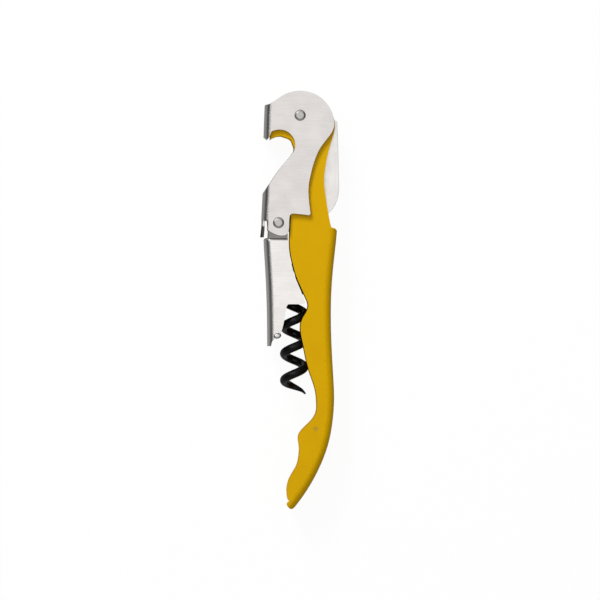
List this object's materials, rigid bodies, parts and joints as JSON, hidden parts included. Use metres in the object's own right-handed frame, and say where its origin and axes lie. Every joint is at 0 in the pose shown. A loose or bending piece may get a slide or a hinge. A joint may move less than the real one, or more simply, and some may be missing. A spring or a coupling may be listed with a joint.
{
  "type": "lever corkscrew",
  "caption": "Folding waiter's corkscrew: channel handle with curved tail, hinged two-step lever with cap lifter, coated worm and foil blade.",
  "frame": {"origin": "centre of the bounding box in X and Y, at the lowest rivet head", "axes": "+Y along the tool towards the head, +Z along every pivot, levers on the -X side"},
  "size_m": [0.0226, 0.1196, 0.0143],
  "materials": {
    "painted_handle": "satin yellow powder coat on folded steel",
    "lever_steel": "brushed stainless steel, grain across the tool",
    "blade_steel": "satin stainless steel",
    "rivet_steel": "plain steel",
    "worm_coating": "black low-friction coating on steel wire, semi-gloss"
  },
  "bodies": {
    "handle": {"handle_shell": "painted_handle", "head_rivet": "rivet_steel", "worm_pin": "rivet_steel", "blade_collar_front": "rivet_steel", "blade_collar_back": "rivet_steel"},
    "upper_lever": {"upper_lever": "lever_steel", "hinge_rivet": "rivet_steel"},
    "lower_lever": {"lower_lever": "lever_steel"},
    "foil_blade": {"foil_blade": "blade_steel"},
    "worm": {"worm": "worm_coating"}
  },
  "joints": [
    {"name": "lever_swing", "type": "hinge", "parent": "handle", "child": "upper_lever", "pos_m": [0, 0.0528, 0.00717], "axis": [0, 0, -1], "range_deg": [0, 150]},
    {"name": "second_lever_swing", "type": "hinge", "parent": "upper_lever", "child": "lower_lever", "pos_m": [-0.00616, 0.0221, 0.00717], "axis": [0, 0, -1], "range_deg": [0, 38]},
    {"name": "blade_swing", "type": "hinge", "parent": "handle", "child": "foil_blade", "pos_m": [0, 0.0528, 0.00717], "axis": [0, 0, 1], "range_deg": [0, 150]},
    {"name": "worm_swing", "type": "hinge", "parent": "handle", "child": "worm", "pos_m": [-0.0008, 0.0271, 0.00717], "axis": [0, 0, -1], "range_deg": [0, 90]}
  ],
  "couplings": [
    {"joint": "worm_swing", "follows": "lever_swing", "ratio": 0.6}
  ]
}
